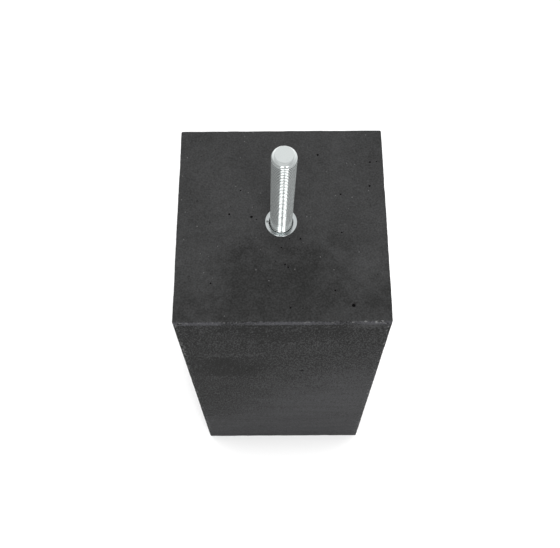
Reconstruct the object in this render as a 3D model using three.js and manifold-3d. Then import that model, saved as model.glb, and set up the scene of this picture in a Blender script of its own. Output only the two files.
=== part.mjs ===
// A cast concrete post base block. A threaded stud is screwed into a steel sleeve that is cast into its top face.
// Units are millimetres, +Z is up, the front faces -Y, and the origin is the middle of the underside.

import * as THREE from 'three';
import { mergeVertices } from 'three/addons/utils/BufferGeometryUtils.js';
import Module from 'manifold-3d';

// Block: a square prism that widens towards its foot, with rounded corners and arrises
const TOP_SIDE = 151;
const FOOT_SIDE = 181;
const BLOCK_HEIGHT = 435;
const CORNER_RADIUS = 1.5;
const CORNER_STEPS = 3;
const ARRIS_ROUND = 1;
const ARRIS_STEPS = 3;

// Anchorage: the axis that the sleeve and the stud share, which leans a little to the right and to the front
const ANCHOR_X = -0.5;
const ANCHOR_Y = -0.4;
const LEAN_RIGHT = THREE.MathUtils.degToRad(1.4);
const LEAN_FRONT = THREE.MathUtils.degToRad(0.55);
const CLEARANCE = 0.3;

// Stud: a metric coarse thread all along, with chamfered ends
const STUD_DIAMETER = 15.9;
const ROOT_DIAMETER = 13.5;
const PITCH = 2;
const STUD_PROUD = 96.5;
const STUD_LENGTH = 140;
const CHAMFER_DEPTH = 2.2;
const CHAMFER_LENGTH = 3.6;
const THREAD_SIDES = 16;

// Sleeve: a blind steel cup with the same thread inside, its rim just above the concrete
const SLEEVE_DIAMETER = 23.2;
const SLEEVE_LENGTH = 52;
const SLEEVE_FLOOR = 6;
const SLEEVE_PROUD = 0.3;
const SLEEVE_CHAMFER = 0.4;
const MOUTH_DIAMETER = 17.4;
const MOUTH_DEPTH = 1.5;

const ROUND_SIDES = 32;
const MERGE_DISTANCE = 1e-4;
const OVERSHOOT = 5;
const RUN_ON_TURNS = 3;

const STUD_FOOT = STUD_PROUD - STUD_LENGTH;
const SLEEVE_FOOT = SLEEVE_PROUD - SLEEVE_LENGTH;
const BORE_FOOT = SLEEVE_FOOT + SLEEVE_FLOOR;
const SLEEVE_RADIUS = SLEEVE_DIAMETER / 2;

// The screw runs on past both ends of the stud, and the two threads keep the clearance between their flanks
const THREAD_FLOOR = STUD_FOOT - RUN_ON_TURNS * PITCH;
const THREAD_TURNS = STUD_LENGTH / PITCH + 2 * RUN_ON_TURNS;
const THREAD_GAP = 2 * CLEARANCE;

const wasm = await Module();
wasm.setup();

// A closed geometry becomes a solid that can be joined and cut
function toSolid(geometry) {
  const bare = geometry.clone();
  bare.deleteAttribute('normal');
  bare.deleteAttribute('uv');
  const merged = mergeVertices(bare, MERGE_DISTANCE);
  const vertProperties = new Float32Array(merged.attributes.position.array);
  const triVerts = new Uint32Array(merged.index.array);
  return new wasm.Manifold(new wasm.Mesh({ numProp: 3, vertProperties, triVerts }));
}

function toGeometry(solid) {
  const { vertProperties, triVerts } = solid.getMesh();
  const geometry = new THREE.BufferGeometry();
  geometry.setAttribute('position', new THREE.BufferAttribute(vertProperties, 3));
  geometry.setIndex(new THREE.BufferAttribute(triVerts, 1));
  geometry.computeVertexNormals();
  return geometry;
}

// A body of revolution about +Z from [radius, height] pairs that run up from the axis and back to it
function turned(profile, sides) {
  const outline = profile.map(([radius, height]) => new THREE.Vector2(radius, height));
  return new THREE.LatheGeometry(outline, sides).rotateX(Math.PI / 2);
}

// A right-handed screw. Two lines a turn, root and crest, climb around the axis: line k at side i stands at
// angle 2 pi i / sides and height pitch (k / 2 + i / sides), so each line runs on into the one two above it.
// A fan from the axis closes each end.
function screw(rootRadius, crestRadius) {
  const sides = THREAD_SIDES;
  const lines = 2 * THREAD_TURNS;
  const points = [];
  for (let step = 0; step <= (lines + 2) * sides; step += 1) {
    const line = Math.floor(step / sides);
    const radius = line % 2 === 0 ? rootRadius : crestRadius;
    const angle = (2 * Math.PI * (step % sides)) / sides;
    const height = THREAD_FLOOR + PITCH * (line / 2 + (step % sides) / sides);
    points.push(radius * Math.cos(angle), radius * Math.sin(angle), height);
  }
  const at = (line, side) => (side < sides ? line * sides + side : (line + 2) * sides);
  const low = points.length / 3;
  const high = low + 1;
  points.push(0, 0, THREAD_FLOOR, 0, 0, THREAD_FLOOR + PITCH * (THREAD_TURNS + 1));
  const faces = [];
  for (let side = 0; side < sides; side += 1) {
    for (let line = 0; line < lines; line += 1) {
      faces.push(at(line, side), at(line, side + 1), at(line + 1, side));
      faces.push(at(line, side + 1), at(line + 1, side + 1), at(line + 1, side));
    }
    faces.push(low, at(0, side + 1), at(0, side));
    faces.push(high, at(lines, side), at(lines, side + 1));
  }
  for (let line = 0; line < 2; line += 1) {
    faces.push(low, at(line, 0), at(line + 1, 0));
    faces.push(high, at(lines - line, sides), at(lines - line - 1, sides));
  }
  const geometry = new THREE.BufferGeometry();
  geometry.setAttribute('position', new THREE.Float32BufferAttribute(points, 3));
  geometry.setIndex(faces);
  return toSolid(geometry);
}

// The sleeve and the stud stand in this leaning group, with their axis through its origin at the top face
const anchorage = new THREE.Group();
anchorage.position.set(ANCHOR_X, ANCHOR_Y, BLOCK_HEIGHT);
anchorage.rotation.set(LEAN_FRONT, LEAN_RIGHT, 0);
anchorage.updateMatrix();

function blockGeometry() {
  const corner = TOP_SIDE / 2 - CORNER_RADIUS;
  const section = new THREE.Shape();
  for (let quarter = 0; quarter < 4; quarter += 1) {
    const start = (quarter * Math.PI) / 2;
    const middle = start + Math.PI / 4;
    const x = corner * Math.sign(Math.cos(middle));
    const y = corner * Math.sign(Math.sin(middle));
    section.absarc(x, y, CORNER_RADIUS, start, start + Math.PI / 2);
  }
  const block = new THREE.ExtrudeGeometry(section, {
    depth: BLOCK_HEIGHT - 2 * ARRIS_ROUND,
    curveSegments: CORNER_STEPS,
    bevelThickness: ARRIS_ROUND,
    bevelSize: ARRIS_ROUND,
    bevelOffset: -ARRIS_ROUND,
    bevelSegments: ARRIS_STEPS,
  }).translate(0, 0, ARRIS_ROUND);
  const point = block.attributes.position;
  for (let i = 0; i < point.count; i += 1) {
    const drop = 1 - point.getZ(i) / BLOCK_HEIGHT;
    const widen = THREE.MathUtils.lerp(1, FOOT_SIDE / TOP_SIDE, drop);
    point.setXY(i, point.getX(i) * widen, point.getY(i) * widen);
  }
  const socketRadius = SLEEVE_RADIUS + CLEARANCE;
  const socketFoot = SLEEVE_FOOT - CLEARANCE;
  const socket = turned(
    [[0, socketFoot], [socketRadius, socketFoot], [socketRadius, OVERSHOOT], [0, OVERSHOOT]],
    ROUND_SIDES,
  ).applyMatrix4(anchorage.matrix);
  return toGeometry(toSolid(block).subtract(toSolid(socket)));
}

function sleeveGeometry() {
  const neck = SLEEVE_RADIUS - SLEEVE_CHAMFER;
  const cup = turned([
    [0, SLEEVE_FOOT],
    [neck, SLEEVE_FOOT],
    [SLEEVE_RADIUS, SLEEVE_FOOT + SLEEVE_CHAMFER],
    [SLEEVE_RADIUS, SLEEVE_PROUD - SLEEVE_CHAMFER],
    [neck, SLEEVE_PROUD],
    [0, SLEEVE_PROUD],
  ], ROUND_SIDES);
  const bore = turned(
    [[0, BORE_FOOT], [SLEEVE_RADIUS, BORE_FOOT], [SLEEVE_RADIUS, OVERSHOOT], [0, OVERSHOOT]],
    ROUND_SIDES,
  );
  const mouthRadius = MOUTH_DIAMETER / 2;
  const mouth = turned([
    [0, SLEEVE_PROUD - MOUTH_DEPTH],
    [mouthRadius - MOUTH_DEPTH, SLEEVE_PROUD - MOUTH_DEPTH],
    [mouthRadius, SLEEVE_PROUD],
    [mouthRadius, OVERSHOOT],
    [0, OVERSHOOT],
  ], ROUND_SIDES);
  const innerThread = screw(ROOT_DIAMETER / 2 + THREAD_GAP, STUD_DIAMETER / 2 + THREAD_GAP);
  const hollow = innerThread.intersect(toSolid(bore)).add(toSolid(mouth));
  return toGeometry(toSolid(cup).subtract(hollow));
}

function studGeometry() {
  const radius = STUD_DIAMETER / 2;
  const tip = radius - CHAMFER_DEPTH;
  const bar = turned([
    [0, STUD_FOOT],
    [tip, STUD_FOOT],
    [radius, STUD_FOOT + CHAMFER_LENGTH],
    [radius, STUD_PROUD - CHAMFER_LENGTH],
    [tip, STUD_PROUD],
    [0, STUD_PROUD],
  ], ROUND_SIDES);
  const outerThread = screw(ROOT_DIAMETER / 2, radius);
  return toGeometry(outerThread.intersect(toSolid(bar)));
}

const concrete = new THREE.MeshStandardMaterial({ color: '#414243', roughness: 0.8, metalness: 0 });
const zinc = new THREE.MeshStandardMaterial({ color: '#c2c8c6', roughness: 0.35, metalness: 1 });
const dullZinc = new THREE.MeshStandardMaterial({ color: '#b4bab8', roughness: 0.45, metalness: 1 });

function piece(name, geometry, material) {
  const mesh = new THREE.Mesh(geometry, material);
  mesh.name = name;
  return mesh;
}

const postBase = new THREE.Group();
anchorage.add(
  piece('threaded_sleeve', sleeveGeometry(), dullZinc),
  piece('threaded_stud', studGeometry(), zinc),
);
postBase.add(piece('concrete_block', blockGeometry(), concrete), anchorage);

export default postBase;
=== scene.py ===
"""Finished surfaces of a cast concrete post base block with its sleeve and threaded stud, on a plain stage.

Lengths are metres, +Z is up and the block's front faces -Y. The origin is the middle of the underside.
"""

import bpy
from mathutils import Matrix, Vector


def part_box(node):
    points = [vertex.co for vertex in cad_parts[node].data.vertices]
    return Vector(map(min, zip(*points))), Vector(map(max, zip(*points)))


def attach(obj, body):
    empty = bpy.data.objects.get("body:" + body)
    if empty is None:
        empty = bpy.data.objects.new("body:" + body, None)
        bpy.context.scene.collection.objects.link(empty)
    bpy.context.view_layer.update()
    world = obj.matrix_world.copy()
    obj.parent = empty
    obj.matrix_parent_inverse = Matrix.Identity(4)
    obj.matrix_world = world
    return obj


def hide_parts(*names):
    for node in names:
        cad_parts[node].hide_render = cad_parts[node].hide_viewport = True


bl_info = {
    "name": "Concrete post base",
    "version": (1, 0, 0),
    "blender": (4, 5, 0),
    "location": "View3D > Sidebar > Post base",
    "description": "Builds a cast concrete post base block with its cast-in sleeve and threaded stud",
    "category": "Object",
}

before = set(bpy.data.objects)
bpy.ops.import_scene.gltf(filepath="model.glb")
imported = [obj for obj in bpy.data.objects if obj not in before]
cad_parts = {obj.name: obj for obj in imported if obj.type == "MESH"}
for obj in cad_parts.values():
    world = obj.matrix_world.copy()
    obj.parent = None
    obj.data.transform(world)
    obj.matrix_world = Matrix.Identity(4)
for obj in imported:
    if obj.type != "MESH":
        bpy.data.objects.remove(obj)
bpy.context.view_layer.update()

import math

import bmesh
import bpy
import numpy as np
from bpy.props import FloatProperty, FloatVectorProperty, IntProperty, PointerProperty
from mathutils import Euler, Vector

MM = 0.001
BODY = "root"
BLOCK_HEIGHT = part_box("concrete_block")[1].z

# The axis that sleeve and stud share: where it meets the top face, and how it leans right and forwards
ANCHOR = np.array([-0.5 * MM, -0.4 * MM, BLOCK_HEIGHT])
LEAN_RIGHT = math.radians(1.4)
LEAN_FRONT = math.radians(0.55)

# Air holes in the top face that show most: across, back and width, in millimetres from its middle
TOP_HOLES = (
    (49.0, -63.7, 2.6), (5.6, -65.0, 1.3), (36.7, -52.7, 1.3), (-49.8, -47.0, 1.3), (2.2, -33.1, 1.2),
    (4.3, -35.3, 1.3), (-0.4, -20.2, 1.0), (13.2, -13.6, 1.4), (42.7, -9.0, 1.3), (-21.8, 3.9, 1.9),
    (-37.8, 6.1, 1.5), (43.0, 21.4, 1.4), (-29.9, 25.1, 1.1), (64.5, 28.2, 1.5), (65.7, 48.0, 1.5),
    (27.1, 54.4, 1.7), (70.6, 48.5, 0.9), (-61.5, 16.8, 0.9), (5.3, -13.6, 0.8),
)
# Air holes in the front face: across, up and width
FRONT_HOLES = (
    (15.2, 309.0, 3.6), (46.0, 322.0, 1.5), (42.0, 300.0, 1.3), (-21.0, 330.0, 1.2), (30.0, 394.0, 1.3),
)
# Chips along the near edge of the top: across, up and width
FRONT_CHIPS = (
    (-70.5, 432.0, 4.0), (64.5, 433.6, 3.2), (68.0, 433.4, 3.4), (71.5, 431.0, 3.0), (57.0, 434.0, 2.4),
)

# Cloudy patches that show: centre and reach in millimetres, and how much lighter or darker. The first is
# painted shade over the near half of the top; the second and third are partly mottling and partly a painted
# reflection of the floor, darker at the front's upper left and lighter at its lower right.
PATCHES_AND_PAINTED_LIGHT = (
    ((5, -58, 435), (95, 42, 60), -0.28),
    ((-46, -83, 320), (34, 20, 46), -0.50),
    ((38, -84, 215), (75, 25, 120), 0.35),
    ((-44, -81, 355), (30, 15, 8), 0.60),
    ((59, -76, 425), (13, 10, 6), 0.90),
    ((9, -90, 9), (9, 10, 6), 1.00),
)

# Small holes and chips that are spread at random: how many on each face or along each edge
TOP_HOLE_COUNT = 22
FOOT_HOLE_COUNT = 24
EDGE_CHIP_COUNT = 5

# The thread's profile, in shares of half a turn: the flat root, and the flank from there up to the flat crest
THREAD_ROOT = 0.05
THREAD_FLANK = 0.55

# The rounded lip of the stud's ends: radius and distance from the end, in millimetres
STUD_LIP = ((6.239, 0.8), (5.8, 0.08), (5.72, 0))
STUD_COLUMNS = 72
STUD_TURN_ROWS = 10
# The stud's plain end, and the share of the thread's depth at which its plating gets neither the painted
# shade of the hollows nor the painted dark reflection of the crests
PLAIN_END = 3.2 * MM
UNSHADED_DEPTH = 0.25

# The sleeve: its floor, the play between the threads, its rounded lip and how far its rim is domed
SLEEVE_COLUMNS = 96
SLEEVE_FLOOR = 6 * MM
THREAD_PLAY = 0.6 * MM
SLEEVE_LIP = 0.35 * MM
SLEEVE_DOME = 0.03 * MM
MOUTH_DEPTH = 1.2 * MM

# Dark stains on the sleeve's rim: centre and reach in millimetres
STAINS = (
    ((-10.3, -0.2, 435), (1.3, 1.3, 3)),
    ((-8.9, -1.5, 435), (1.0, 1.0, 3)),
)

# The two strip lights in front: size, distance and the way to them from the top of the block
STRIP_SIZE = (0.30, 1.2)
STRIP_DISTANCE = 1.5
STRIP_WAY = (0.19, -0.47, 0.86)

# The softbox overhead, a little behind, and the wide light in front: size and place
SOFTBOX_SIZE = (0.6, 0.3)
SOFTBOX_PLACE = (0, 0.12, 2.6)
FILL_SIZE = (0.8, 1.0)
FILL_PLACE = (0.15, -0.75, 1.72)
FLOOR_HALF = 20
SENSOR_WIDTH = 36


class BlockSettings(bpy.types.PropertyGroup):
    """Sizes and colours of the cast block."""

    top_side: FloatProperty(
        name="Top side", description="Width of the square top", default=151 * MM, unit="LENGTH")
    foot_side: FloatProperty(
        name="Foot side", description="Width of the square foot", default=181 * MM, unit="LENGTH")
    corner_round: FloatProperty(
        name="Corner round", description="Radius of the upright corners", default=1.2 * MM, unit="LENGTH")
    arris_round: FloatProperty(
        name="Arris round", description="Height of the rounded top and foot edges",
        default=0.9 * MM, unit="LENGTH")
    wave: FloatProperty(
        name="Wave", description="Unevenness of the cast faces", default=0.16 * MM, unit="LENGTH")
    side_holes: IntProperty(
        name="Side holes", description="Small air holes in each side face", default=16, min=0)
    seed: IntProperty(name="Seed", description="Start of the random draws", default=11)
    dark: FloatVectorProperty(
        name="Dark paste", description="Colour of the darkest cement", subtype="COLOR",
        default=(0.0120, 0.0121, 0.0119))
    light: FloatVectorProperty(
        name="Light paste", description="Colour of the lightest cement", subtype="COLOR",
        default=(0.0430, 0.0432, 0.0440))
    # Partly painted reflection: this colour stands for the cement's own smooth film and for a painted sheen
    # of the bright floor.
    film_and_sheen: FloatVectorProperty(
        name="Cement film", description="Colour of the smooth bluish film on the sides", subtype="COLOR",
        default=(0.0350, 0.0350, 0.0388))
    # The rubbed-edge colour also paints the highlight along the top of the sides.
    bare: FloatVectorProperty(
        name="Rubbed edge", description="Colour of rubbed edges and chips", subtype="COLOR",
        default=(0.064, 0.064, 0.071))
    sand: FloatVectorProperty(
        name="Sand grain", description="Colour of the pale grains", subtype="COLOR",
        default=(0.13, 0.13, 0.13))


class SteelSettings(bpy.types.PropertyGroup):
    """Sizes and colours of the sleeve and the stud."""

    stud_width: FloatProperty(
        name="Stud width", description="Across the thread's crests", default=15.9 * MM, unit="LENGTH")
    root_width: FloatProperty(
        name="Root width", description="Across the thread's roots", default=13.5 * MM, unit="LENGTH")
    pitch: FloatProperty(
        name="Pitch", description="Rise of the thread in one turn", default=2 * MM, unit="LENGTH")
    stud_proud: FloatProperty(
        name="Stud height", description="Height of the stud above the top face",
        default=96.5 * MM, unit="LENGTH")
    stud_length: FloatProperty(
        name="Stud length", description="Whole length of the stud", default=140 * MM, unit="LENGTH")
    chamfer_depth: FloatProperty(
        name="Chamfer depth", description="How far the ends' chamfer goes in",
        default=2.2 * MM, unit="LENGTH")
    chamfer_length: FloatProperty(
        name="Chamfer length", description="How far the ends' chamfer runs along",
        default=3.6 * MM, unit="LENGTH")
    sleeve_width: FloatProperty(
        name="Sleeve width", description="Outside of the sleeve", default=23.2 * MM, unit="LENGTH")
    sleeve_length: FloatProperty(
        name="Sleeve length", description="Whole length of the sleeve", default=52 * MM, unit="LENGTH")
    sleeve_proud: FloatProperty(
        name="Sleeve height", description="Height of the rim above the top face",
        default=0.3 * MM, unit="LENGTH")
    mouth_width: FloatProperty(
        name="Mouth width", description="Across the sleeve's chamfered mouth",
        default=17.4 * MM, unit="LENGTH")
    zinc: FloatVectorProperty(
        name="Zinc", description="Colour of clean zinc plating", subtype="COLOR",
        default=(0.72, 0.76, 0.755))
    rim_zinc: FloatVectorProperty(
        name="Rim zinc", description="Colour of the sleeve's plating", subtype="COLOR",
        default=(0.52, 0.55, 0.555))
    # Also the colour of the painted shade deep in the thread and of the painted dark reflection on its
    # crests, besides dull plating and stains.
    dull_and_shade_zinc: FloatVectorProperty(
        name="Dull zinc", description="Colour of dull or soiled plating", subtype="COLOR",
        default=(0.12, 0.128, 0.125))


class StageSettings(bpy.types.PropertyGroup):
    """Camera, lights and room."""

    camera_place: FloatVectorProperty(
        name="Camera place", description="Where the camera stands", subtype="XYZ", unit="LENGTH",
        default=(0.0, -0.2168, 0.9004))
    camera_turn: FloatVectorProperty(
        name="Camera turn", description="Tilt from straight down, bank and swing", subtype="EULER",
        default=tuple(math.radians(angle) for angle in (20.76, 0.292, -0.292)))
    lens: FloatProperty(name="Lens", description="Focal length in millimetres", default=45.84)
    walls: FloatProperty(name="Walls", description="Brightness of the room's walls", default=0.70)
    sweep: FloatProperty(name="Sweep", description="Brightness round the horizon", default=1.0)
    ceiling: FloatProperty(name="Ceiling", description="Brightness overhead", default=1.15)
    strips: FloatProperty(
        name="Strip lights", description="Power of each strip light", default=2.6, unit="POWER")
    fill: FloatProperty(
        name="Fill", description="Power of the wide light in front", default=15.5, unit="POWER")
    softbox: FloatProperty(
        name="Softbox", description="Power of the overhead light", default=28.0, unit="POWER")


# Meshes


def soft_noise(points, size, seed):
    """Smooth noise from -1 to 1: random values on a cubic lattice of this size, blended by smoothsteps."""
    cells = 24
    table = np.random.default_rng(seed).uniform(-1, 1, (cells,) * 3)
    place = points / size
    base = np.floor(place).astype(int)
    share = place - base
    share = share * share * (3 - 2 * share)
    total = np.zeros(len(points))
    for corner in np.ndindex(2, 2, 2):
        weight = np.prod(np.where(corner, share, 1 - share), axis=1)
        i, j, k = ((base + corner) % cells).T
        total += weight * table[i, j, k]
    return total


def grid_quads(numbers):
    """Quads between the neighbouring rows and columns of a 2-D array of point numbers."""
    low, high = numbers[:-1], numbers[1:]
    return np.stack([low[:, :-1], low[:, 1:], high[:, 1:], high[:, :-1]], axis=-1).reshape(-1, 4)


def ring_quads(rings):
    """Quads between rings of point numbers, each ring closed on itself."""
    return grid_quads(np.hstack([rings, rings[:, :1]]))


def mesh_object(name, points, faces):
    """A smooth-shaded mesh object from points and faces, in the scene."""
    mesh = bpy.data.meshes.new(name)
    mesh.from_pydata(points.tolist(), [], faces)
    mesh.update()
    mesh.shade_smooth()
    piece = bpy.data.objects.new(name, mesh)
    bpy.context.scene.collection.objects.link(piece)
    return piece


def mesh_points(mesh):
    """The mesh's points as an array of rows."""
    flat = np.empty(len(mesh.vertices) * 3)
    mesh.vertices.foreach_get("co", flat)
    return flat.reshape(-1, 3)


def set_attribute(mesh, name, values):
    """Stores one number for each point under this name."""
    attribute = mesh.attributes.new(name, "FLOAT", "POINT")
    attribute.data.foreach_set("value", values.astype(np.float32))


def in_metres(sizes):
    """Sizes in millimetres as metres."""
    return [size * MM for size in sizes]


def leaning(points):
    """Points about the stud's upright axis, leant with it and moved to where it meets the top face."""
    turn = np.array(Euler((LEAN_FRONT, LEAN_RIGHT, 0)).to_matrix())
    return points @ turn.T + ANCHOR


def finish_piece(piece, node, material):
    """Gives a piece its material and its body, and hides the part that it stands for."""
    piece.data.materials.append(material)
    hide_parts(node)
    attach(piece, BODY)


# Block


class BlockForm:
    """The cast block before its taper: a box with rounded edges, and what lies on it."""

    GRID_STEP = 2.5 * MM
    GRID_STEP_UP = 4 * MM
    BAND_STEPS = 3
    PATCH_HALF = 20 * MM
    PATCH_RINGS = 6
    SOCKET_PLAY = 0.1 * MM
    SOCKET_PLAY_BELOW = 0.3 * MM
    SOCKET_LIP = 1 * MM

    def __init__(self, settings, steel):
        self.settings = settings
        self.half = settings.top_side / 2
        self.round = np.array([settings.corner_round, settings.corner_round, settings.arris_round])
        self.middle = np.array([0, 0, BLOCK_HEIGHT / 2])
        self.reach = np.array([self.half, self.half, BLOCK_HEIGHT / 2])
        self.socket = steel.sleeve_width / 2 + self.SOCKET_PLAY
        self.socket_depth = steel.sleeve_length + self.SOCKET_PLAY_BELOW

    def lines(self, reach, edge, step):
        """Grid places from -reach to reach: even steps, and finer ones over the rounded edges."""
        flat = reach - edge
        even = np.linspace(-flat, flat, 2 * round(flat / step) + 1)
        bend = flat + edge * np.arange(1, self.BAND_STEPS + 1) / self.BAND_STEPS
        return np.concatenate([-bend[::-1], even, bend])

    def shell(self):
        """The box's six grids, with the middle of the top left open for the sleeve's socket."""
        across = self.lines(self.half, self.round[0], self.GRID_STEP)
        up = self.lines(self.reach[2], self.round[2], self.GRID_STEP_UP) + self.middle[2]
        number = np.arange(len(across) ** 2 * len(up)).reshape(len(across), len(across), len(up))
        first, last = np.flatnonzero(np.abs(across) <= self.PATCH_HALF)[[0, -1]]
        top = grid_quads(number[:, :, -1].T)
        corners = np.stack(np.unravel_index(top, number.shape)[:2])
        kept = ((corners < first) | (corners > last)).any(axis=(0, 2))
        quads = [top[kept], grid_quads(number[:, :, 0]), grid_quads(number[-1].T), grid_quads(number[0]),
                 grid_quads(number[:, -1]), grid_quads(number[:, 0].T)]
        quads = np.concatenate(quads)
        deck = number[:, :, -1]
        border = np.concatenate([deck[first:last, first], deck[last, first:last],
                                 deck[last:first:-1, last], deck[first, last:first:-1]])
        used, quads = np.unique(quads, return_inverse=True)
        x, y, z = np.unravel_index(used, number.shape)
        points = np.stack([across[x], across[y], up[z]], axis=1)
        return points, quads.reshape(-1, 4), np.searchsorted(used, border)

    def socket_rings(self, rim):
        """Rings from the opening's square border to the sleeve, down the socket and over its floor."""
        angle = np.arctan2(rim[:, 1] - ANCHOR[1], rim[:, 0] - ANCHOR[0])
        circle = np.stack([np.cos(angle), np.sin(angle), 0 * angle], axis=1)
        rings = []
        for share in np.arange(1, self.PATCH_RINGS + 1) / self.PATCH_RINGS:
            rings.append((1 - share) * rim + share * (ANCHOR + self.socket * circle))
        axis = np.array([math.tan(LEAN_RIGHT), -math.tan(LEAN_FRONT), 1])
        for width, depth in ((1, self.SOCKET_LIP), (1, self.socket_depth), (0.5, self.socket_depth)):
            rings.append(ANCHOR - depth * axis + width * self.socket * circle)
        return rings

    def surface(self):
        """The whole closed grid: points, and faces as lists of point numbers."""
        points, quads, border = self.shell()
        rings = self.socket_rings(points[border])
        numbers = len(points) + np.arange(len(rings) * len(border)).reshape(len(rings), -1)
        points = np.concatenate([points, *rings])
        quads = np.concatenate([quads, ring_quads(np.vstack([border, numbers]))])
        return points, quads.tolist() + [numbers[-1].tolist()]

    def rounded(self, points):
        """Points of the box drawn in over its edges, and the way out of the surface there.

        The part of a point beyond the flat core is scaled to length one, as on a sphere, and stretched to
        the edge radii, so that edges are quarter ellipses and corners parts of an ellipsoid.
        """
        place = points - self.middle
        core = np.clip(place, self.round - self.reach, self.reach - self.round)
        beyond = (place - core) / self.round
        length = np.linalg.norm(beyond, axis=1, keepdims=True)
        unit = beyond / np.maximum(length, 1e-9)
        inside = length[:, 0] < 0.5
        drawn = np.where(inside[:, None], points, self.middle + core + unit * self.round)
        out = unit / self.round
        out /= np.maximum(np.linalg.norm(out, axis=1, keepdims=True), 1e-9)
        out[inside] = 0
        return drawn, out

    def edge_distance(self, points):
        """Distance to the nearest edge: the middle one of the depths under the three nearest faces."""
        depth = self.reach - np.abs(points - self.middle)
        return np.sort(depth, axis=1)[:, 1]

    def widen(self, points):
        """How much wider the block is at each height than at its top."""
        drop = 1 - points[:, 2] / BLOCK_HEIGHT
        return 1 + (self.settings.foot_side / self.settings.top_side - 1) * drop


def scatter_holes(form, rng):
    """Air holes as rows of x, y, z and width: those named above, and small ones spread over every face."""
    rows = [(x * MM, y * MM, BLOCK_HEIGHT, width * MM) for x, y, width in TOP_HOLES]
    rows += [(x * MM, -form.half, z * MM, width * MM) for x, z, width in FRONT_HOLES]
    inset = form.half - 6 * MM

    def spread(count, low, high):
        place = rng.uniform(-1, 1, (count, 2))
        width = low + (high - low) * rng.random(count) ** 3
        return place, width

    place, width = spread(TOP_HOLE_COUNT, 0.5 * MM, 0.9 * MM)
    clear = np.hypot(*(place.T * inset)) > form.socket + 3 * MM
    rows += [(x * inset, y * inset, BLOCK_HEIGHT, w) for (x, y), w in zip(place[clear], width[clear])]
    for turn in range(4):
        place, width = spread(form.settings.side_holes, 0.7 * MM, 2.2 * MM)
        for (along, up), w in zip(place, width):
            side = np.array([along * inset, -form.half])
            quarter = turn * math.pi / 2
            x = side[0] * math.cos(quarter) - side[1] * math.sin(quarter)
            y = side[0] * math.sin(quarter) + side[1] * math.cos(quarter)
            rows.append((x, y, BLOCK_HEIGHT / 2 + up * (BLOCK_HEIGHT / 2 - 12 * MM), w))
    place, width = spread(FOOT_HOLE_COUNT, 1 * MM, 3 * MM)
    rows += [(x * inset, y * inset, 0, w) for (x, y), w in zip(place, width)]
    return np.array(rows)


def scatter_chips(form, rng):
    """Edge chips as rows of x, y, z and width: those named above, and small ones along top and foot."""
    rows = [(x * MM, -form.half, z * MM, width * MM) for x, z, width in FRONT_CHIPS]
    for level in (0, BLOCK_HEIGHT):
        for turn in range(4):
            along = rng.uniform(-1, 1, EDGE_CHIP_COUNT) * form.half
            width = (1.2 + 1.6 * rng.random(EDGE_CHIP_COUNT) ** 2) * MM
            quarter = turn * math.pi / 2
            x = along * math.cos(quarter) + form.half * math.sin(quarter)
            y = along * math.sin(quarter) - form.half * math.cos(quarter)
            rows += [(*place, level, w) for *place, w in zip(x, y, width)]
    return np.array(rows)


def refine_near(mesh, spots, level_steps):
    """Splits the mesh's edges near each spot, once for each step, so that small hollows have fine faces."""
    for step in level_steps:
        points = mesh_points(mesh)
        ends = np.empty(len(mesh.edges) * 2, dtype=np.int32)
        mesh.edges.foreach_get("vertices", ends)
        ends = points[ends.reshape(-1, 2)]
        middle = ends.mean(axis=1)
        near = np.zeros(len(middle), dtype=bool)
        for *place, width in spots:
            near |= ((middle - place) ** 2).sum(axis=1) < (width / 2 + step) ** 2
        work = bmesh.new()
        work.from_mesh(mesh)
        work.edges.ensure_lookup_table()
        chosen = [work.edges[i] for i in np.flatnonzero(near)]
        bmesh.ops.subdivide_edges(work, edges=chosen, cuts=1, use_grid_fill=True)
        work.to_mesh(mesh)
        work.free()


def sink_holes(points, out, holes):
    """Sinks each hole as a deep half ellipsoid and returns the moved points and how far in each one lies.

    Inside the uneven rim the surface sinks by the hole's depth times the root of
    1 - (distance / rim) squared.
    Points close to the rim are moved on to it first, so that the rim is clean.
    """
    moved = points.copy()
    depth = np.zeros(len(points))
    for *place, width in holes:
        near = np.flatnonzero(((points - place) ** 2).sum(axis=1) < width ** 2)
        away = points[near] - place
        distance = np.maximum(np.linalg.norm(away, axis=1), 1e-9)
        uneven = soft_noise(points[near], 0.45 * width, 5)
        rim = width / 2 * (1 + 0.16 * uneven)
        share = distance / rim
        snapped = np.abs(share - 1) < 0.14
        moved[near] += np.where(snapped, rim / distance - 1, 0)[:, None] * away
        share = np.where(snapped, 1, share)
        bowl = np.sqrt(np.clip(1 - share ** 2, 0, 1))
        moved[near] -= (0.85 * width * bowl)[:, None] * out[near]
        depth[near] = np.maximum(depth[near], bowl)
    return moved, depth


def scoop_chips(points, form, chips):
    """Hollows each chip out of the edge with a ball whose middle stands just outside the block.

    A point inside the uneven ball moves straight away from its middle to its surface.
    """
    moved = points.copy()
    bare = np.zeros(len(points))
    for *place, width in chips:
        offset = np.array(place) - form.middle
        outward = np.sign(offset) * (np.abs(offset) > 0.97 * form.reach)
        ball = np.array(place) + outward * 0.12 * width
        away = moved - ball
        distance = np.linalg.norm(away, axis=1)
        near = np.flatnonzero(distance < width)
        radius = width / 2 * (1 + 0.3 * soft_noise(points[near], 0.4 * width, 9))
        inside = distance[near] < radius
        chosen = near[inside]
        grow = radius[inside] / np.maximum(distance[chosen], 1e-9)
        moved[chosen] = ball + away[chosen] * grow[:, None]
        bare[chosen] = 1
    return moved, bare


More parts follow.
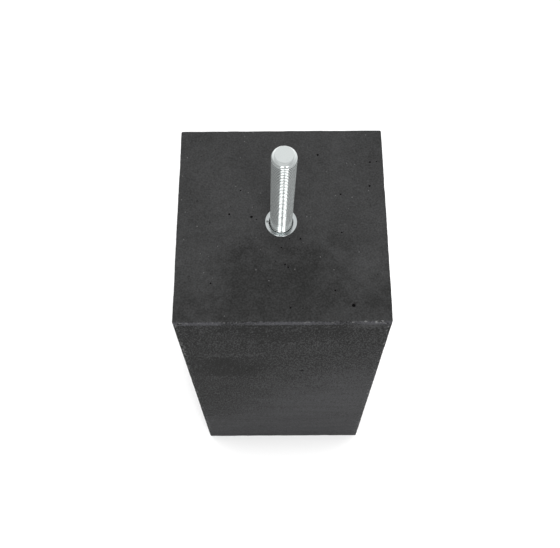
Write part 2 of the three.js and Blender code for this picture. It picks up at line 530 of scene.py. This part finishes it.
def cast_block(settings, steel):
    """The block's mesh: the rounded box, uneven, chipped and widened downwards, its marks as attributes."""
    form = BlockForm(settings, steel)
    rng = np.random.default_rng(settings.seed)
    holes = scatter_holes(form, rng)
    chips = scatter_chips(form, rng)
    points, faces = form.surface()
    piece = mesh_object("cast_block", points, faces)
    mesh = piece.data
    refine_near(mesh, np.concatenate([holes, chips]), (2.2 * MM, 1.0 * MM, 0.5 * MM))
    flat = mesh_points(mesh)
    edge = form.edge_distance(flat)
    points, out = form.rounded(flat)
    wave = settings.wave * (0.7 * soft_noise(points, 45 * MM, 1) + 0.3 * soft_noise(points, 14 * MM, 2))
    worn = np.exp(-(edge / (2.2 * MM)) ** 2)
    uneven = soft_noise(points, 7 * MM, 3) + 0.6 * soft_noise(points, 2.6 * MM, 4)
    rub = 0.16 * MM * worn * np.clip(0.35 + uneven, 0, 2)
    settled = np.clip(points[:, 2] / (3 * MM), 0, 1)
    points = points + ((wave * settled) - rub)[:, None] * out
    points, depth = sink_holes(points, out, holes)
    points, bare = scoop_chips(points, form, chips)
    points[:, :2] *= np.where(np.abs(out).any(axis=1), form.widen(points), 1)[:, None]
    mesh.vertices.foreach_set("co", points.ravel())
    set_attribute(mesh, "edge", np.clip(1 - edge / (8 * MM), 0, 1))
    set_attribute(mesh, "chip", bare)
    set_attribute(mesh, "hole", depth)
    set_attribute(mesh, "side", 1 - np.abs(out[:, 2]))
    set_attribute(mesh, "front", np.clip(-out[:, 1], 0, 1))
    mesh.update()
    mesh.set_sharp_from_angle(angle=math.radians(50))
    return piece


# Steel


def thread_radius(steel, angle, height):
    """Distance of the thread's surface from the axis: flat crests and roots, one turn for each pitch."""
    foot = steel.stud_proud - steel.stud_length
    turn = (height - foot) / steel.pitch + 0.5 - angle / (2 * math.pi)
    climb = np.abs(2 * (turn - np.floor(turn)) - 1)
    share = np.clip((climb - THREAD_ROOT) / THREAD_FLANK, 0, 1)
    return (steel.root_width + (steel.stud_width - steel.root_width) * share) / 2


def bar_radius(steel, inward):
    """Radius of the plain bar this far in from its end: a chamfer, then the full width."""
    slope = steel.chamfer_depth / steel.chamfer_length
    tip = steel.stud_width / 2 - steel.chamfer_depth
    return np.minimum(steel.stud_width / 2, tip + slope * np.clip(inward, 0, None))


def cast_in_sleeve(steel):
    """The sleeve: a profile turned about the axis, with the thread's own waves down its bore."""
    columns = SLEEVE_COLUMNS
    outside = steel.sleeve_width / 2
    mouth = steel.mouth_width / 2
    rim = steel.sleeve_proud
    foot = rim - steel.sleeve_length
    floor = foot + SLEEVE_FLOOR
    lip = SLEEVE_LIP
    crown = rim + SLEEVE_DOME
    profile = [(0.5 * outside, foot), (outside - lip, foot), (outside, foot + lip), (outside, rim - lip),
               (outside - 0.1 * MM, rim - 0.12 * MM), (outside - lip, rim), (outside - 1.5 * MM, crown),
               (mouth + 0.5 * MM, crown), (mouth + 0.12 * MM, rim), (mouth, rim - 0.1 * MM),
               (mouth - 0.5 * MM, rim - 0.8 * MM)]
    angle = np.arange(columns) * 2 * math.pi / columns
    bore = np.arange(rim - MOUTH_DEPTH, floor, -steel.pitch / 8)
    radius = [np.full(columns, r) for r, _ in profile]
    height = [h for _, h in profile]
    radius += [thread_radius(steel, angle, h) + THREAD_PLAY for h in bore]
    height += list(bore)
    radius += [np.full(columns, 7 * MM), np.full(columns, 3 * MM)]
    height += [floor, floor]
    radius = np.array(radius)
    height = np.array(height)[:, None] + 0 * radius
    points = np.stack([radius * np.cos(angle), radius * np.sin(angle), height], axis=-1)
    numbers = np.arange(radius.size).reshape(radius.shape)
    faces = ring_quads(numbers).tolist() + [numbers[0, ::-1].tolist(), numbers[-1].tolist()]
    piece = mesh_object("cast_in_sleeve", leaning(points.reshape(-1, 3)), faces)
    piece.data.set_sharp_from_angle(angle=math.radians(20))
    return piece


def threaded_stud(steel):
    """The stud: rows of points that climb with the thread, inside a chamfered bar with rounded, flat ends.

    Row k at angle a stands at pitch (k / rows a turn + a / a full turn), so every row follows the thread.
    """
    columns = STUD_COLUMNS
    turn_rows = STUD_TURN_ROWS
    foot = steel.stud_proud - steel.stud_length
    start = foot - 2 * steel.pitch
    rows = round((steel.stud_length + 4 * steel.pitch) / steel.pitch) * turn_rows
    angle = np.arange(columns) * 2 * math.pi / columns
    row = np.arange(rows + turn_rows + 1)[:, None]
    height = start + steel.pitch * (row / turn_rows + angle / (2 * math.pi))
    radius = thread_radius(steel, angle, height)
    inward = np.minimum(steel.stud_proud - height, height - foot)
    radius = np.minimum(radius, bar_radius(steel, inward))
    points = np.stack([radius * np.cos(angle), radius * np.sin(angle), height], axis=-1)
    numbers = np.arange(radius.size).reshape(radius.shape)
    seam = np.vstack([numbers[turn_rows:, :1], np.zeros((turn_rows, 1), dtype=int)])
    wide = np.hstack([numbers, seam])[:rows + 1]
    piece = mesh_object("threaded_stud_bar", points.reshape(-1, 3), grid_quads(wide).tolist())
    work = bmesh.new()
    work.from_mesh(piece.data)
    for end, way in ((steel.stud_proud, 1), (foot, -1)):
        parts = [*work.verts, *work.edges, *work.faces]
        level = end - way * STUD_LIP[0][1] * MM
        cut = bmesh.ops.bisect_plane(
            work, geom=parts, dist=1e-6, plane_co=(0, 0, level), plane_no=(0, 0, way), clear_outer=True)
        rim = [part for part in cut["geom_cut"] if isinstance(part, bmesh.types.BMEdge)]
        for (wide, low), (narrow, high) in zip(STUD_LIP, STUD_LIP[1:]):
            made = bmesh.ops.extrude_edge_only(work, edges=rim)["geom"]
            ring = [part for part in made if isinstance(part, bmesh.types.BMVert)]
            rim = [part for part in made if isinstance(part, bmesh.types.BMEdge) and part.is_boundary]
            bmesh.ops.scale(work, vec=(narrow / wide, narrow / wide, 1), verts=ring)
            bmesh.ops.translate(work, vec=(0, 0, way * (low - high) * MM), verts=ring)
        bmesh.ops.holes_fill(work, edges=rim, sides=0)
    bmesh.ops.recalc_face_normals(work, faces=work.faces)
    work.to_mesh(piece.data)
    work.free()
    mesh = piece.data
    points = mesh_points(mesh)
    below = np.minimum(steel.stud_proud - points[:, 2], points[:, 2] - foot)
    hollow = bar_radius(steel, below) - np.hypot(points[:, 0], points[:, 1])
    depth = 2 * hollow / (steel.stud_width - steel.root_width)
    set_attribute(mesh, "depth", np.where(below > PLAIN_END, depth, UNSHADED_DEPTH))
    mesh.vertices.foreach_set("co", leaning(points).ravel())
    mesh.update()
    mesh.shade_smooth()
    mesh.set_sharp_from_angle(angle=math.radians(35))
    corners = np.empty(len(mesh.polygons), dtype=np.int32)
    mesh.polygons.foreach_get("loop_total", corners)
    mesh.polygons.foreach_set("use_smooth", corners < columns / 2)
    return piece


# Materials


class Wire:
    """An output of a node tree. Sums and products of wires and numbers add Math nodes."""

    def __init__(self, tree, output=None):
        self.tree = tree
        self.output = output

    def node(self, kind, settings=(), sockets=(), result=0):
        """Adds a node of this kind, settings first, then its sockets' values or links. Returns a result."""
        node = self.tree.nodes.new("ShaderNode" + kind)
        for name, value in dict(settings).items():
            setattr(node, name, value)
        for name, value in dict(sockets).items():
            if isinstance(value, Wire):
                self.tree.links.new(value.output, node.inputs[name])
            else:
                node.inputs[name].default_value = value
        return Wire(self.tree, node.outputs[result] if node.outputs else None)

    def math(self, operation, *values):
        return self.node("Math", {"operation": operation}, enumerate(values))

    def __add__(self, other):
        return self.math("ADD", self, other)

    def __sub__(self, other):
        return self.math("SUBTRACT", self, other)

    def __rsub__(self, other):
        return self.math("SUBTRACT", other, self)

    def __mul__(self, other):
        return self.math("MULTIPLY", self, other)

    __radd__ = __add__
    __rmul__ = __mul__

    def between(self, low, high):
        """From 0 at low to 1 at high, as a smoothstep."""
        ends = {"Value": self, "From Min": low, "From Max": high}
        return self.node("MapRange", {"interpolation_type": "SMOOTHSTEP"}, ends)

    def noise(self, scale, detail=2.0, rough=0.5):
        """Noise over this wire's coordinates, about 0.5."""
        sockets = {"Vector": self, "Scale": scale, "Detail": detail, "Roughness": rough}
        return self.node("TexNoise", {}, sockets)

    def stretched(self, scale):
        """These coordinates, scaled along each axis."""
        return self.node("Mapping", {}, {"Vector": self, "Scale": scale})

    def spots(self, scale, size, share):
        """Round spots at random places, of this size in their cells, in about this share of the cells."""
        cells = self.node("TexVoronoi", {}, {"Vector": self, "Scale": scale}, result="Distance")
        colour = Wire(self.tree, cells.output.node.outputs["Color"])
        lot = self.node("SeparateColor", {}, {"Color": colour}, result="Red")
        drawn = lot.between(1 - share, 1.02 - share)
        return (1 - cells.between(0.6 * size, size)) * drawn

    def within(self, centre, reach, wobble):
        """From 1 near a centre to 0 past the reach along each axis, with an uneven edge."""
        offset = self.node("VectorMath", {"operation": "SUBTRACT"}, [(0, self), (1, centre)])
        offset = self.node("VectorMath", {"operation": "DIVIDE"}, [(0, offset), (1, reach)])
        length = self.node("VectorMath", {"operation": "LENGTH"}, [(0, offset)], result="Value")
        return 1 - (length + wobble).between(0.3, 1.2)

    def mixed(self, first, second):
        """The first colour where this wire is 0, the second where it is 1."""
        ends = [(0, self), (6, first), (7, second)]
        return self.node("Mix", {"data_type": "RGBA"}, ends, result=2)


def new_material(name, constants):
    """A material with one Principled shader of these constants: the material, a first wire and the shader."""
    material = bpy.data.materials.new(name)
    material.use_nodes = True
    tree = material.node_tree
    tree.nodes.clear()
    pen = Wire(tree)
    shader = pen.node("BsdfPrincipled", {}, constants)
    pen.node("OutputMaterial", {}, {"Surface": shader})
    return material, pen, shader.output.node


def feed(shader, wires):
    """Links wires to the shader's sockets by name."""
    for name, wire in wires.items():
        wire.tree.links.new(wire.output, shader.inputs[name])


def opaque(colour):
    return (*colour, 1)


def concrete_material(settings):
    """Dark cast concrete: clouded paste with patches, grain and pale sand.

    The front has a stronger speckle. Some patches are painted light: painted shade over the near half of the
    top, and a painted reflection, partly mottling, darker at the front's upper left and lighter at its lower
    right. The sides have a bluish film low down, partly the cement's own film and partly a painted sheen of
    the floor, and an uneven lighter strip under the top edge, partly rubbed cement and partly a painted
    highlight. Painted shade darkens the sides' lowest few millimetres, the air holes and the pinholes. Chips
    and flecks at the edges are pale.
    """
    material, pen, shader = new_material("anthracite_concrete", {"Specular IOR Level": 0.08})
    place = pen.node("TexCoord", result="Object")
    edge = pen.node("Attribute", {"attribute_name": "edge"}, result="Fac")
    hole = pen.node("Attribute", {"attribute_name": "hole"}, result="Fac")
    side = pen.node("Attribute", {"attribute_name": "side"}, result="Fac")
    front = pen.node("Attribute", {"attribute_name": "front"}, result="Fac")
    across = pen.node("SeparateXYZ", {}, {"Vector": place}, result="X")
    height = pen.node("SeparateXYZ", {}, {"Vector": place}, result="Z")
    chip = pen.node("Attribute", {"attribute_name": "chip"}, result="Fac")
    upright = place.stretched((1, 1, 0.42))
    cloud = place.noise(26, 3) - 0.5
    blotch = place.noise(110, 3) - 0.5
    grain = place.noise(850, 3, 0.65) - 0.5
    speckle = upright.noise(900, 3, 0.7) - 0.5
    mottle = place.noise(430, 2) - 0.5
    band = place.stretched((11, 11, 80)).noise(1, 4, 0.55) - 0.5
    # Partly painted reflection: the bluish film low on the sides, reaching higher to the right, is partly the
    # cement's own smooth film and partly a painted sheen of the bright floor.
    low = 1 - (height - 1.2 * across + 0.20 * cloud + 0.06 * band).between(0.14, 0.34)
    film_and_sheen = (side * low * (0.7 + 1.0 * band)).between(0, 1)
    tone = 0.50 + 0.5 * cloud + 0.35 * blotch + 1.5 * grain
    tone = tone + side * (0.8 * mottle + 0.25 * band - 0.16) + front * (7.0 * speckle + 1.6 * across)
    # The patches include painted shade and a painted reflection, as listed above.
    for centre, reach, change in PATCHES_AND_PAINTED_LIGHT:
        wobble = 1.6 * cloud + 0.6 * blotch
        tone = tone + change * place.within(in_metres(centre), in_metres(reach), wobble)
    # Painted shade: the sides darken over their lowest few millimetres, where they meet the floor.
    tone = tone - 0.25 * side * (1 - height.between(1 * MM, 5 * MM))
    tone = pen.node("MapRange", {}, {"Value": tone})
    colour = tone.mixed(opaque(settings.dark), opaque(settings.light))
    colour = (0.5 * film_and_sheen * (1 + 5.0 * front * speckle)).mixed(colour, opaque(settings.film_and_sheen))
    sand = place.spots(330, 0.16, 0.10)
    colour = (0.6 * sand).mixed(colour, opaque(settings.sand))
    # Partly painted highlight: the lighter strip along the top of the sides is partly a rubbed, cement-rich
    # edge and partly a painted highlight on the rounded edge.
    strip = side * height.between(BLOCK_HEIGHT - 7 * MM, BLOCK_HEIGHT - 5 * MM)
    strip = strip * (0.25 + 0.6 * place.noise(60, 3).between(0.35, 0.6) + 2.5 * speckle)
    colour = strip.mixed(colour, opaque(settings.bare))
    broken = upright.noise(520, 2).between(0.46, 0.56).mixed(opaque(settings.dark), opaque(settings.sand))
    colour = (0.9 * chip).mixed(colour, broken)
    flecks = side * edge.between(0.35, 0.85) * upright.noise(600, 2).between(0.57, 0.65)
    colour = ((0.25 + 0.55 * front) * flecks).mixed(colour, opaque(settings.sand))
    # Painted shade: pinhole spots and the air holes, by their depth, are darkened nearly to black.
    pinholes = place.spots(170, 0.075, 0.3)
    dark = pinholes.math("MAXIMUM", 0.7 * pinholes, 0.92 * hole.between(0.05, 0.5))
    colour = dark.mixed(colour, (0.001, 0.001, 0.001, 1))
    rough = 0.86 - 0.16 * film_and_sheen + 0.2 * grain
    relief = grain + 0.8 * speckle * front - 0.5 * pinholes
    normal = pen.node("Bump", {}, {"Height": relief, "Strength": 0.4, "Distance": 0.5 * MM})
    feed(shader, {"Base Color": colour, "Roughness": rough, "Normal": normal})
    return material


def zinc_material(name, settings, clean, roughness, worn):
    """Zinc plating: slightly cloudy, with painted shade deep in the thread, a painted dark reflection on the
    crests and stains on the rim.
    """
    material, pen, shader = new_material(name, {"Metallic": 1.0})
    place = pen.node("TexCoord", result="Object")
    depth = pen.node("Attribute", {"attribute_name": "depth"}, result="Fac")
    cloud = place.noise(260, 3) - 0.5
    fine = place.noise(1500, 2) - 0.5
    # Painted shade and painted reflection: the thread's deep hollows, and its crests by the worn amount, take
    # the dark zinc colour.
    crest = 1 - depth.between(0.02, 0.12)
    dull_and_shade = (depth.between(0.4, 0.9) * 0.9 + worn * crest + 0.4 * cloud).between(0, 1)
    for centre, reach in STAINS:
        stain = place.within(in_metres(centre), in_metres(reach), cloud)
        dull_and_shade = dull_and_shade.math("MAXIMUM", dull_and_shade, stain)
    colour = dull_and_shade.mixed(opaque(clean), opaque(settings.dull_and_shade_zinc))
    rough = roughness + 0.12 * dull_and_shade + 0.1 * fine
    normal = pen.node("Bump", {}, {"Height": fine + cloud, "Strength": 0.12, "Distance": 0.1 * MM})
    feed(shader, {"Base Color": colour, "Roughness": rough, "Normal": normal})
    return material


def floor_material():
    """A plain pale floor."""
    constants = {"Base Color": (0.9, 0.9, 0.9, 1), "Roughness": 0.9, "Specular IOR Level": 0.0}
    return new_material("plain_floor", constants)[0]


def studio_room(settings):
    """The room around: bright at the horizon and high at the back, dimmer between, brighter to the right."""
    world = bpy.data.worlds.new("studio_room")
    world.use_nodes = True
    world.node_tree.nodes.clear()
    pen = Wire(world.node_tree)
    way = pen.node("TexCoord", result="Generated")
    rise = pen.node("SeparateXYZ", {}, {"Vector": way}, result="Z")
    right = pen.node("SeparateXYZ", {}, {"Vector": way}, result="X")
    walls = settings.walls * (1 + 0.3 * right)
    sweep = (settings.sweep - walls) * (1 - rise.between(0.10, 0.35))
    back = pen.node("SeparateXYZ", {}, {"Vector": way}, result="Y")
    ceiling = (settings.ceiling - walls) * (0.45 * back + 0.89 * rise).between(0.78, 0.93)
    light = pen.node("Background", {}, {"Strength": walls + sweep + ceiling})
    pen.node("OutputWorld", {}, {"Surface": light})
    return world


def add_light(name, size, power, place, target):
    """A rectangular light of this size and power, facing its target and not seen by the camera."""
    light = bpy.data.lights.new(name, "AREA")
    light.shape = "RECTANGLE"
    light.size, light.size_y = size
    light.energy = power
    lamp = bpy.data.objects.new(name, light)
    lamp.location = place
    lamp.rotation_euler = (place - target).to_track_quat("Z", "Y").to_euler()
    lamp.visible_camera = False
    bpy.context.scene.collection.objects.link(lamp)
    return lamp


# Operators


class POSTBASE_OT_stage(bpy.types.Operator):
    """Makes the floor, the lights and the camera"""

    bl_idname = "post_base.stage"
    bl_label = "Stage"

    def execute(self, context):
        settings = context.scene.post_base_stage
        scene = context.scene
        scene.view_settings.view_transform = "Standard"
        corners = FLOOR_HALF * np.array([(-1, -1, 0), (1, -1, 0), (1, 1, 0), (-1, 1, 0)], dtype=float)
        floor = mesh_object("studio_floor", corners, [[0, 1, 2, 3]])
        floor.data.materials.append(floor_material())
        scene.world = studio_room(settings)
        target = Vector((0, 0, BLOCK_HEIGHT))
        for name, across in (("left_strip", -1), ("right_strip", 1)):
            away = Vector((across * STRIP_WAY[0], *STRIP_WAY[1:]))
            add_light(name, STRIP_SIZE, settings.strips, target + STRIP_DISTANCE * away, target)
        add_light("softbox", SOFTBOX_SIZE, settings.softbox, Vector(SOFTBOX_PLACE), target)
        fill = add_light("front_fill", FILL_SIZE, settings.fill, Vector(FILL_PLACE), target)
        fill.visible_glossy = False
        lens = bpy.data.cameras.new("photo_camera")
        lens.lens = settings.lens
        lens.sensor_width = SENSOR_WIDTH
        lens.clip_start = 0.01
        camera = bpy.data.objects.new("photo_camera", lens)
        camera.location = settings.camera_place
        camera.rotation_euler = settings.camera_turn
        scene.collection.objects.link(camera)
        scene.camera = camera
        return {"FINISHED"}


class POSTBASE_OT_block(bpy.types.Operator):
    """Casts the concrete block"""

    bl_idname = "post_base.block"
    bl_label = "Block"

    def execute(self, context):
        settings = context.scene.post_base_block
        piece = cast_block(settings, context.scene.post_base_steel)
        finish_piece(piece, "concrete_block", concrete_material(settings))
        return {"FINISHED"}


class POSTBASE_OT_sleeve(bpy.types.Operator):
    """Turns the steel sleeve that is cast into the block"""

    bl_idname = "post_base.sleeve"
    bl_label = "Sleeve"

    def execute(self, context):
        settings = context.scene.post_base_steel
        piece = cast_in_sleeve(settings)
        set_attribute(piece.data, "depth", np.zeros(len(piece.data.vertices)))
        material = zinc_material("sleeve_zinc", settings, settings.rim_zinc, roughness=0.17, worn=0)
        finish_piece(piece, "threaded_sleeve", material)
        return {"FINISHED"}


class POSTBASE_OT_stud(bpy.types.Operator):
    """Cuts the threaded stud"""

    bl_idname = "post_base.stud"
    bl_label = "Stud"

    def execute(self, context):
        settings = context.scene.post_base_steel
        piece = threaded_stud(settings)
        # The worn amount paints a dark reflection on the thread's crests.
        material = zinc_material("stud_zinc", settings, settings.zinc, roughness=0.13, worn=0.4)
        finish_piece(piece, "threaded_stud", material)
        return {"FINISHED"}


class POSTBASE_PT_sidebar(bpy.types.Panel):
    """Lists the pieces and their settings"""

    bl_label = "Post base"
    bl_space_type = "VIEW_3D"
    bl_region_type = "UI"
    bl_category = "Post base"

    def draw(self, context):
        for settings, operators in PANEL_ROWS:
            box = self.layout.box()
            group = getattr(context.scene, settings)
            for name in group.__annotations__:
                box.prop(group, name)
            for operator in operators:
                box.operator(operator.bl_idname)


PANEL_ROWS = (
    ("post_base_stage", (POSTBASE_OT_stage,)),
    ("post_base_block", (POSTBASE_OT_block,)),
    ("post_base_steel", (POSTBASE_OT_sleeve, POSTBASE_OT_stud)),
)
GROUPS = {
    "post_base_stage": StageSettings,
    "post_base_block": BlockSettings,
    "post_base_steel": SteelSettings,
}
CLASSES = (*GROUPS.values(), POSTBASE_OT_stage, POSTBASE_OT_block, POSTBASE_OT_sleeve, POSTBASE_OT_stud,
           POSTBASE_PT_sidebar)


def register():
    for cls in CLASSES:
        bpy.utils.register_class(cls)
    for name, group in GROUPS.items():
        setattr(bpy.types.Scene, name, PointerProperty(type=group))


def unregister():
    for name in GROUPS:
        delattr(bpy.types.Scene, name)
    for cls in reversed(CLASSES):
        bpy.utils.unregister_class(cls)


def main():
    """Builds the stage and the pieces in order."""
    register()
    bpy.ops.post_base.stage()
    bpy.ops.post_base.block()
    bpy.ops.post_base.sleeve()
    bpy.ops.post_base.stud()


if __name__ == "__main__":
    main()
